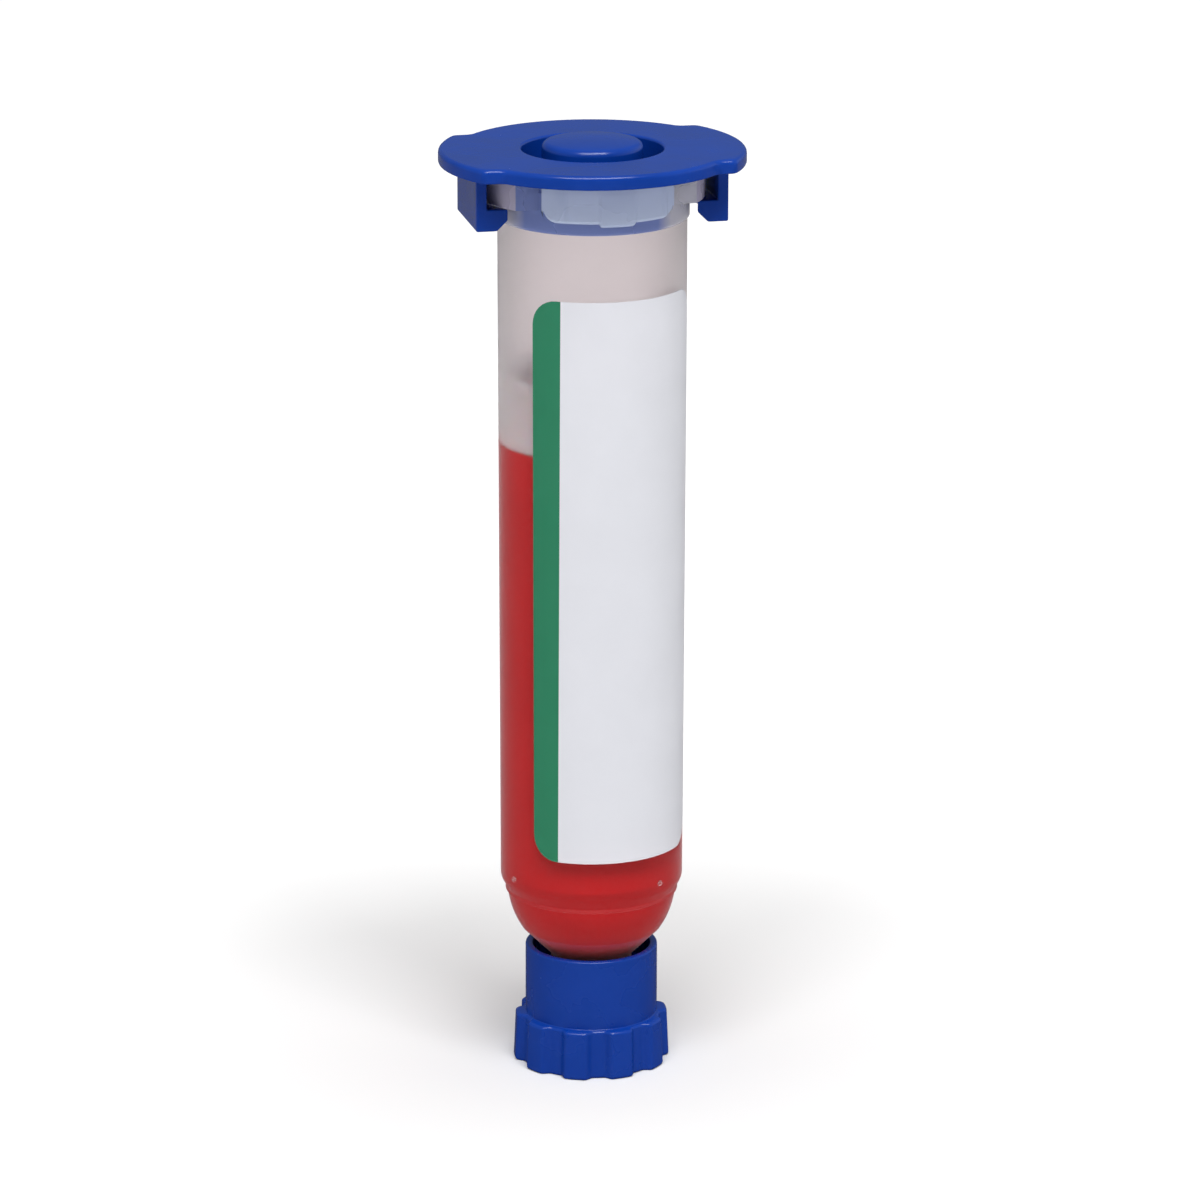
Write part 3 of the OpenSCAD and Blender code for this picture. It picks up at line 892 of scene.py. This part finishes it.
def raise_ears(bm):
    """Lifts the two ears out of the top of the tube, with flat sides."""
    ear_end = math.degrees(math.asin(EAR_HALF / EAR_R))

    def turn_of(point):
        return 0 if point.x > 0 else 180

    def on_ear(face):
        middle = face.calc_center_median()
        on_tube = OUTER_SKIN_R < radius_of(middle) < NECK_R + SLACK
        in_turn = abs(from_turn(middle, turn_of(middle))) < EAR_ROOT_TURN
        return on_tube and in_turn and EAR_Z < middle.z / MM < FLANGE_Z - SLACK

    for vert in raise_faces(bm, [f for f in bm.faces if on_ear(f)]):
        turn = turn_of(vert.co)
        angle = math.radians(turn + from_turn(vert.co, turn) * ear_end / EAR_ROOT_TURN)
        vert.co = Vector((EAR_R * math.cos(angle), EAR_R * math.sin(angle), vert.co.z / MM)) * MM


def add_nub(bm, angle):
    """A small round nub at the lower end of the tube."""
    turn = Matrix.Rotation(math.radians(angle), 4, "Z")
    place = turn @ Matrix.Translation(((TUBE_LOW_R - NUB_SUNK) * MM, 0, NUB_Z * MM))
    bmesh.ops.create_icosphere(bm, subdivisions=3, radius=NUB_R * MM, matrix=place)


def make_thread(start):
    """One ridge of the double thread inside the locking collar."""
    low_z = LOCK_MOUTH_Z + THREAD_INSET
    climb = NOZZLE_ROOT_Z - THREAD_INSET - low_z
    root_r, crest_r = LOCK_IN_R + THREAD_BITE, LOCK_IN_R - THREAD_DEPTH
    root, crest = THREAD_WIDTH / 2, THREAD_CREST / 2
    section = [(root_r, -root), (crest_r, -crest), (crest_r, crest), (root_r, root)]
    bm = bmesh.new()
    bm.faces.new([bm.verts.new((r * MM, 0, (low_z + z) * MM)) for r, z in section])
    bmesh.ops.spin(bm, geom=bm.verts[:] + bm.edges[:] + bm.faces[:], cent=(0, 0, 0), axis=(0, 0, 1),
                   dvec=(0, 0, climb / THREAD_STEPS * MM), angle=math.tau * climb / THREAD_LEAD,
                   steps=THREAD_STEPS)
    rotate(bm, bm.verts, start)
    close_up(bm)
    return bm


# The end cap


def make_end_cap():
    """Winged plate with a ring groove, a button, a plug and two hooks."""
    crown = [(BUTTON_R * share, BUTTON_Z + BUTTON_CROWN * (1 - share ** 2), 0) for share in CROWN_SHARES]
    top = [
        (GROOVE_R, PLATE_Z, GROOVE_LIP_EASE),
        (GROOVE_R, PLUG_FLOOR_Z, GROOVE_FLOOR_EASE),
        (BUTTON_R, PLUG_FLOOR_Z, GROOVE_FLOOR_EASE),
        (BUTTON_R, BUTTON_Z, BUTTON_EASE),
        *crown,
        (0, BUTTON_Z + BUTTON_CROWN, 0),
    ]
    below = [
        (PLUG_R, FLANGE_Z, 0),
        (PLUG_R, PLUG_Z, PLUG_EASE),
        (HOLLOW_R, PLUG_Z, HOLLOW_EASE),
        (HOLLOW_R, HOLLOW_TOP_Z, HOLLOW_TOP_EASE),
        (0, HOLLOW_TOP_Z, 0),
    ]
    bm = bmesh.new()
    join(bm, turned_surface(top, GROOVE_LIP))
    join(bm, turned_surface(below, 0))
    add_plate(bm)
    close_up(bm)
    for side in (0, 180):
        join(bm, make_hook(side))
    return add_piece("winged_cap", bm, make_end_cap_plastic())


def add_plate(bm):
    """The winged plate with its rounded rim, between the rims of the groove above and the plug below."""

    def open_edges(z):
        return [e for e in bm.edges if e.is_boundary and abs(e.verts[0].co.z - z * MM) < TOUCH]

    groove_rim, plug_rim = open_edges(PLATE_Z), open_edges(FLANGE_Z)
    upper = arc(-RIM_ROUND, PLATE_Z - RIM_ROUND, RIM_ROUND, 90, 0, 5)
    lower = arc(-RIM_UNDER_ROUND, FLANGE_Z + RIM_UNDER_ROUND, RIM_UNDER_ROUND, 0, -90, 2)
    loops = [draw_plate_outline(bm, z, inset) for inset, z, _ in upper + lower]
    bmesh.ops.triangle_fill(bm, edges=groove_rim + loops[0], use_beauty=True)
    bmesh.ops.triangle_fill(bm, edges=plug_rim + loops[-1], use_beauty=True)
    for first, second in zip(loops, loops[1:]):
        bmesh.ops.bridge_loops(bm, edges=first + second)


def draw_plate_outline(bm, z, inset):
    """The plate's round outline with a wing on each side, as a loop of edges at a height, moved in or out."""
    wing_r, plate_r, wing_half = WING_R + inset, PLATE_R + inset, WING_HALF + inset
    wing_end = math.degrees(math.asin(wing_half / wing_r))
    plate_start = math.degrees(math.asin(wing_half / plate_r))
    one_side = [
        *arc(0, 0, wing_r, -wing_end, wing_end, WING_STEPS),
        *arc(0, 0, plate_r, plate_start, 180 - plate_start, PLATE_STEPS),
    ]
    other_side = [(-x, -y, ease) for x, y, ease in one_side]
    flat = bmesh.new()
    corners = [flat.verts.new((x * MM, y * MM, z * MM)) for x, y, _ in one_side + other_side]
    flat.faces.new(corners)
    half = len(one_side)
    wing_tips = [corners[i] for i in (0, WING_STEPS, half, half + WING_STEPS)]
    wing_roots = [corners[i] for i in (WING_STEPS + 1, half - 1, half + WING_STEPS + 1, 2 * half - 1)]
    round_off(flat, wing_tips, WING_CORNER_R, "VERTICES", 5)
    round_off(flat, wing_roots, WING_FILLET_R, "VERTICES", 5)
    bmesh.ops.delete(flat, geom=flat.faces[:], context="FACES_ONLY")
    before = set(bm.edges)
    join(bm, flat)
    return [e for e in bm.edges if e not in before]


def make_hook(side):
    """A leg under one wing, with a toe that follows the barrel."""

    def below_plate(point):
        return point.z < HOOK_ROUNDED_Z * MM

    profile = [
        (LEG_OUT, HOOK_ROOT_Z),
        (LEG_OUT, TOE_Z),
        (TOE_R + TOE_CHAMFER, TOE_Z),
        (TOE_R, TOE_Z + TOE_CHAMFER),
        (TOE_R, TOE_TOP_Z),
        (LEG_IN, TOE_TOP_Z),
        (LEG_IN, HOOK_ROOT_Z),
    ]
    bm = bmesh.new()
    near_side = bm.faces.new([bm.verts.new((x * MM, -HOOK_HALF * MM, z * MM)) for x, z in profile])
    bmesh.ops.translate(bm, verts=raise_faces(bm, [near_side]), vec=(0, 2 * HOOK_HALF * MM, 0))
    for i in range(1, HOOK_SLICES):
        cut_across(bm, (0, HOOK_HALF * (2 * i / HOOK_SLICES - 1) * MM, 0), (0, 1, 0))
    for vert in bm.verts:
        reach, height = vert.co.x / MM, vert.co.z / MM
        toe_reach = math.sqrt(TOE_R ** 2 - (vert.co.y / MM) ** 2)
        if reach < TOE_R + SLACK:
            vert.co.x = toe_reach * MM
        elif reach < LEG_OUT - SLACK and height < TOE_Z + SLACK:
            vert.co.x = (toe_reach + TOE_CHAMFER) * MM
    close_up(bm)
    round_off(bm, sharp_edges(bm, below_plate, HOOK_FOLD), HOOK_EDGE_R)
    close_up(bm)
    rotate(bm, bm.verts, side)
    return bm


# The piston and the fill


def make_piston():
    """A cup with two wiper ridges and a conical nose."""
    relief_r = PISTON_R - WIPER_RELIEF
    outline = [
        (0, NOSE_Z, 0),
        (NOSE_TIP_R, NOSE_Z, NOSE_EASE),
        (NOSE_R, PISTON_Z, WIPER_EASE),
        (PISTON_R, PISTON_Z, WIPER_EASE),
        (PISTON_R, PISTON_Z + WIPER_H, WIPER_EASE),
        (relief_r, PISTON_Z + WIPER_H + WIPER_RELIEF, WIPER_EASE),
        (relief_r, PISTON_TOP_Z - WIPER_H - WIPER_RELIEF, WIPER_EASE),
        (PISTON_R, PISTON_TOP_Z - WIPER_H, WIPER_EASE),
        (PISTON_R, PISTON_TOP_Z, LIP_EASE),
        (NOSE_R, PISTON_TOP_Z, LIP_EASE),
        (NOSE_R - PISTON_WALL, PISTON_Z + PISTON_WALL, CUP_EASE),
        (NOSE_TIP_R - PISTON_WALL, NOSE_Z + PISTON_WALL, CUP_TIP_EASE),
        (0, NOSE_Z + PISTON_WALL, 0),
    ]
    return add_piece("wiper_piston", turned(outline, FILL_STEPS), make_piston_plastic())


def make_epoxy_column(epoxy):
    """The fill between the piston and the heel, which wets the wall."""
    wet_r = BORE_R + WET
    top_z = PISTON_Z - NOSE_GAP
    outline = [
        (0, HEEL_Z - NOSE_H, 0),
        (NOSE_TIP_R, HEEL_Z - NOSE_H, 0),
        (NOSE_R, HEEL_Z, 0),
        (wet_r, HEEL_Z, 0),
        (wet_r, top_z, 0),
        (NOSE_R, top_z, 0),
        (NOSE_TIP_R, top_z - NOSE_H, 0),
        (0, top_z - NOSE_H, 0),
    ]
    return add_piece("epoxy_column", turned(outline, FILL_STEPS), epoxy)


def make_epoxy_heel(epoxy):
    """The fill that stays in the dome and the outlet."""
    dome_r = DOME_IN_R + WET
    hole_r = OUTLET_HOLE_R + WET
    top_z = HEEL_Z - HEEL_GAP
    outline = [
        (0, HEEL_FOOT_Z, 0),
        (hole_r, HEEL_FOOT_Z, 0),
        (hole_r, cone_foot(dome_r, hole_r), 0),
        *bowl(dome_r),
        (dome_r, BORE_END_Z - BORE_END_H, 0),
        (BORE_R + WET, BORE_END_Z, 0),
        (BORE_R + WET, top_z, 0),
        (NOSE_R + HEEL_GAP, top_z, 0),
        (NOSE_TIP_R + HEEL_GAP, top_z - NOSE_H, 0),
        (0, top_z - NOSE_H, 0),
    ]
    return add_piece("epoxy_heel", turned(outline, FILL_STEPS), epoxy)


# The label


def make_label():
    """A film with round corners, cut flat and wrapped round the tube."""
    half = LABEL_SPAN / 2
    # Flat, both ways are in degrees along the tube's girth
    stretch = math.degrees(1 / SEAT_R)
    shape = [(-half, LABEL_LOW_Z), (half, LABEL_LOW_Z), (half, LABEL_TOP_Z), (-half, LABEL_TOP_Z)]
    bm = bmesh.new()
    corners = [bm.verts.new((x, 0, z * stretch)) for x, z in shape]
    bm.faces.new(corners)
    bmesh.ops.bevel(bm, geom=corners, offset=LABEL_CORNER_R * stretch, segments=LABEL_CORNER_STEPS,
                    profile=0.5, affect="VERTICES", material=-1)
    for i in range(1, LABEL_COLUMNS):
        cut_across(bm, (LABEL_SPAN * i / LABEL_COLUMNS - half, 0, 0), (1, 0, 0), LABEL_CUT_TOUCH)
    bm.normal_update()
    if bm.faces[:][0].normal.y > 0:
        bmesh.ops.reverse_faces(bm, faces=bm.faces[:])
    uv = bm.loops.layers.uv.new(LABEL_UV)
    for loop in (loop for face in bm.faces for loop in face.loops):
        x, _, z = loop.vert.co
        up = (z / stretch - LABEL_LOW_Z) / (LABEL_TOP_Z - LABEL_LOW_Z)
        loop[uv].uv = ((x + half) / LABEL_SPAN, up)
    for vert in bm.verts:
        angle = math.radians(LABEL_MIDDLE + vert.co.x)
        height = vert.co.z / stretch
        reach = tube_radius(height) + LABEL_GAP
        vert.co = Vector((reach * math.cos(angle), reach * math.sin(angle), height)) * MM
    bm.normal_update()
    bmesh.ops.solidify(bm, geom=bm.faces[:], thickness=-LABEL_T * MM)
    close_up(bm)
    return add_piece("label_film", bm, make_label_film())


# The tip cap


def lobe_share(point):
    """How far a lobe of the base ring stands out towards a point, from 0 in a groove to 1 on a lobe."""
    period = 360 / LOBE_COUNT
    off = abs((angle_of(point) - LOBE_TURN + period / 2) % period - period / 2)
    share = held((LOBE_HALF_SPAN + LOBE_EDGE - off) / (2 * LOBE_EDGE))
    return share * share * (3 - 2 * share)


def make_tip_cap():
    """Skirt, lobed base ring and the socket that closes the nozzle."""
    outline = [
        (0, BASE_RECESS_H, 0),
        (BASE_RECESS_R, BASE_RECESS_H, BASE_RECESS_EASE),
        (BASE_RECESS_R, 0, BASE_EASE),
        (RING_ROOT_R, 0, RING_EASE),
        (RING_ROOT_R, RING_H / 2, 0),
        (RING_ROOT_R, RING_H, RING_EASE),
        (SKIRT_R, RING_H, SKIRT_ROOT_EASE),
        (SKIRT_R, RIM_Z, RIM_EASE),
        (SKIRT_IN_R, RIM_Z, RIM_IN_EASE),
        (SKIRT_IN_R, TIP_FLOOR_Z, TIP_FLOOR_EASE),
        (SOCKET_R, TIP_FLOOR_Z, TIP_FLOOR_EASE),
        (SOCKET_R, SOCKET_Z, SOCKET_EASE),
        (NOZZLE_ROOT_R + SOCKET_GAP, SOCKET_Z, SOCKET_MOUTH_EASE),
        (NOZZLE_R + SOCKET_GAP, TIP_FLOOR_Z, 0),
        (0, TIP_FLOOR_Z, 0),
    ]
    bm = turned(outline, LOBE_COUNT * LOBE_STEPS, LOBE_TURN)
    for vert in bm.verts:
        reach, height = radius_of(vert.co), vert.co.z / MM
        if reach > RING_ROOT_R - RING_SKIN and height < RING_H + SLACK:
            lobe = (RING_R - RING_ROOT_R) * lobe_share(vert.co)
            put_at_radius(vert, reach + lobe - RING_DRAFT * height / RING_H)
    close_up(bm)
    return add_piece("tip_cap_skirt", bm, make_tip_cap_plastic())


def build_syringe():
    """Makes every piece and puts each on its body, all but the fill's column, which stays where it is made.
    """
    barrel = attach(make_barrel(), "barrel")
    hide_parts("barrel")
    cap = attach(make_end_cap(), "end_cap")
    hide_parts("end_cap")
    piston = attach(make_piston(), "piston")
    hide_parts("piston")
    epoxy = make_epoxy()
    column = make_epoxy_column(epoxy)
    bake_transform(column)
    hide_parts("adhesive_column")
    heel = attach(make_epoxy_heel(epoxy), "barrel")
    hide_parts("adhesive_heel")
    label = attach(make_label(), "barrel")
    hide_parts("label")
    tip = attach(make_tip_cap(), "tip_cap")
    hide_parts("tip_cap")


# Floor, light and background


def make_floor_paper():
    """Matt paper that shows white to the camera and through clear plastic, and keeps the shadow; its glow is
    weakest near the syringe, painted shade round the base, and to reflections it is darker in front, a
    painted dark reflection.
    """
    material, tree, shader = new_material("floor_paper")
    feed_inputs(tree, shader, Roughness=0.9, Specular_IOR_Level=0.0, Emission_Color=opaque((1, 1, 1)))
    place = place_in(tree)
    along = split(tree, place)["Y"]
    # Painted reflection: mirrored rays see the paper dark in front and lighter behind, which dims what the
    # caps' sides reflect
    depth = ramp(tree, along, MIRROR_NEAR_Y * MM, MIRROR_FAR_Y * MM, MIRROR_NEAR, MIRROR_FAR)
    feed(tree, mix_colours(tree, mirrored(tree), opaque(PAPER_WHITE), depth), shader.inputs["Base Color"])
    path = tree.nodes.new("ShaderNodeLightPath")
    seen = calculate(tree, "MAXIMUM", path.outputs["Is Camera Ray"], seen_through(tree))
    # Painted shade: the glow is weakest near the syringe, so the paper round its base reads darker than the
    # lamps alone make it
    away = vector_node(tree, "LENGTH", place).outputs["Value"]
    glow = ramp(tree, away, GLOW_START * MM, GLOW_END * MM, GLOW_NEAR, GLOW_FAR)
    feed(tree, calculate(tree, "MULTIPLY", seen, glow), shader.inputs["Emission Strength"])
    return material


def add_floor():
    """A wide flat floor under the tip cap."""
    bm = bmesh.new()
    bmesh.ops.create_grid(bm, x_segments=1, y_segments=1, size=FLOOR_REACH * MM)
    mesh = bpy.data.meshes.new("floor")
    bm.to_mesh(mesh)
    bm.free()
    mesh.materials.append(make_floor_paper())
    floor = bpy.data.objects.new("floor", mesh)
    scene.collection.objects.link(floor)


def add_light(name, azimuth, elevation, size, level):
    """A square soft box aimed at the syringe; level is the white it gives a surface that faces it."""
    data = bpy.data.lights.new(name, "AREA")
    data.shape = "SQUARE"
    data.size = size * MM
    data.energy = level * (math.pi * LIGHT_DISTANCE * MM) ** 2
    light = bpy.data.objects.new(name, data)
    scene.collection.objects.link(light)
    turn, lift = math.radians(azimuth), math.radians(elevation)
    back = Vector((math.sin(turn) * math.cos(lift), -math.cos(turn) * math.cos(lift), math.sin(lift)))
    light.location = (Vector((0, 0, LIGHT_AIM_Z)) + back * LIGHT_DISTANCE) * MM
    light.rotation_euler = (-back).to_track_quat("-Z", "Y").to_euler()


def add_room():
    """A plain room, dim at its walls, brighter at its sides and overhead, and white through clear plastic."""
    world = bpy.data.worlds.new("room")
    scene.world = world
    world.use_nodes = True
    tree = world.node_tree
    towards = split(tree, place_in(tree, "Generated"))
    level = ramp(tree, towards["Y"], *BACKDROP_SHARES, WALL_LEVEL, BACKDROP_LEVEL)
    start, end = SIDE_SHARES
    for way, side_level in ((1, RIGHT_LEVEL), (-1, LEFT_LEVEL)):
        side = ramp(tree, towards["X"], way * start, way * end, 0.0, side_level)
        level = calculate(tree, "MAXIMUM", level, side)
    level = ramp(tree, towards["Z"], *CEILING_SHARES, level, CEILING_LEVEL)
    strength = calculate(tree, "MAXIMUM", level, seen_through(tree))
    hue = mix_colours(tree, mirrored(tree), opaque((1, 1, 1)), opaque(ROOM_TINT))
    feed_inputs(tree, tree.nodes["Background"], Strength=strength, Color=hue)


build_syringe()
add_floor()
add_room()
add_light("key", **KEY_LIGHT)
add_light("fill", **FILL_LIGHT)
